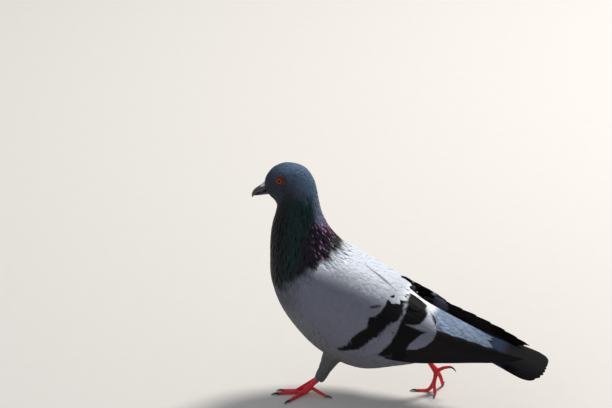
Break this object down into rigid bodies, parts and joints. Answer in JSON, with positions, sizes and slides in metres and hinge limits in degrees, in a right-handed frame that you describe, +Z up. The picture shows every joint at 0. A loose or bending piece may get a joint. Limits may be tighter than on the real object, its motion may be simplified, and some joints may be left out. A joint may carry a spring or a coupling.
{
  "type": "rock pigeon, standing model in mid stride",
  "caption": "Life-size still model of a blue-bar rock pigeon in mid stride: slate head, iridescent neck, pale barred wings, banded tail and red feet on flat toe pads",
  "frame": {"origin": "middle of the whole bird's box in plan, on the floor that it stands on", "axes": "+Z up, the bill towards -X, the bird's left side towards -Y"},
  "size_m": [0.2816, 0.083, 0.2296],
  "materials": {
    "head_feathers": "short soft slate-grey feathers",
    "neck_feathers": "dark feathers with a green and purple sheen",
    "body_feathers": "soft pale blue-grey feathers",
    "wing_feathers": "pale grey coverts with two black bars and dark flight feathers",
    "tail_feathers": "blue-grey tail feathers with a black band",
    "bill": "satin black horn",
    "cere": "powdery white bare skin",
    "eye": "wet orange-red iris and black pupil",
    "leg_skin": "crimson scaled skin",
    "claw": "dark horn"
  },
  "bodies": {
    "root": {"head": "head_feathers", "neck": "neck_feathers", "trunk": "body_feathers", "tail": "tail_feathers", "wing_left": "wing_feathers", "wing_right": "wing_feathers", "bill_upper": "bill", "bill_lower": "bill", "cere": "cere", "eye_left": "eye", "eye_right": "eye", "thigh_left": "body_feathers", "shank_left": "leg_skin", "toe_1_left": "leg_skin", "claw_1_left": "claw", "toe_2_left": "leg_skin", "claw_2_left": "claw", "toe_3_left": "leg_skin", "claw_3_left": "claw", "toe_4_left": "leg_skin", "claw_4_left": "claw", "thigh_right": "body_feathers", "shank_right": "leg_skin", "toe_1_right": "leg_skin", "claw_1_right": "claw", "toe_2_right": "leg_skin", "claw_2_right": "claw", "toe_3_right": "leg_skin", "claw_3_right": "claw", "toe_4_right": "leg_skin", "claw_4_right": "claw"}
  },
  "joints": []
}
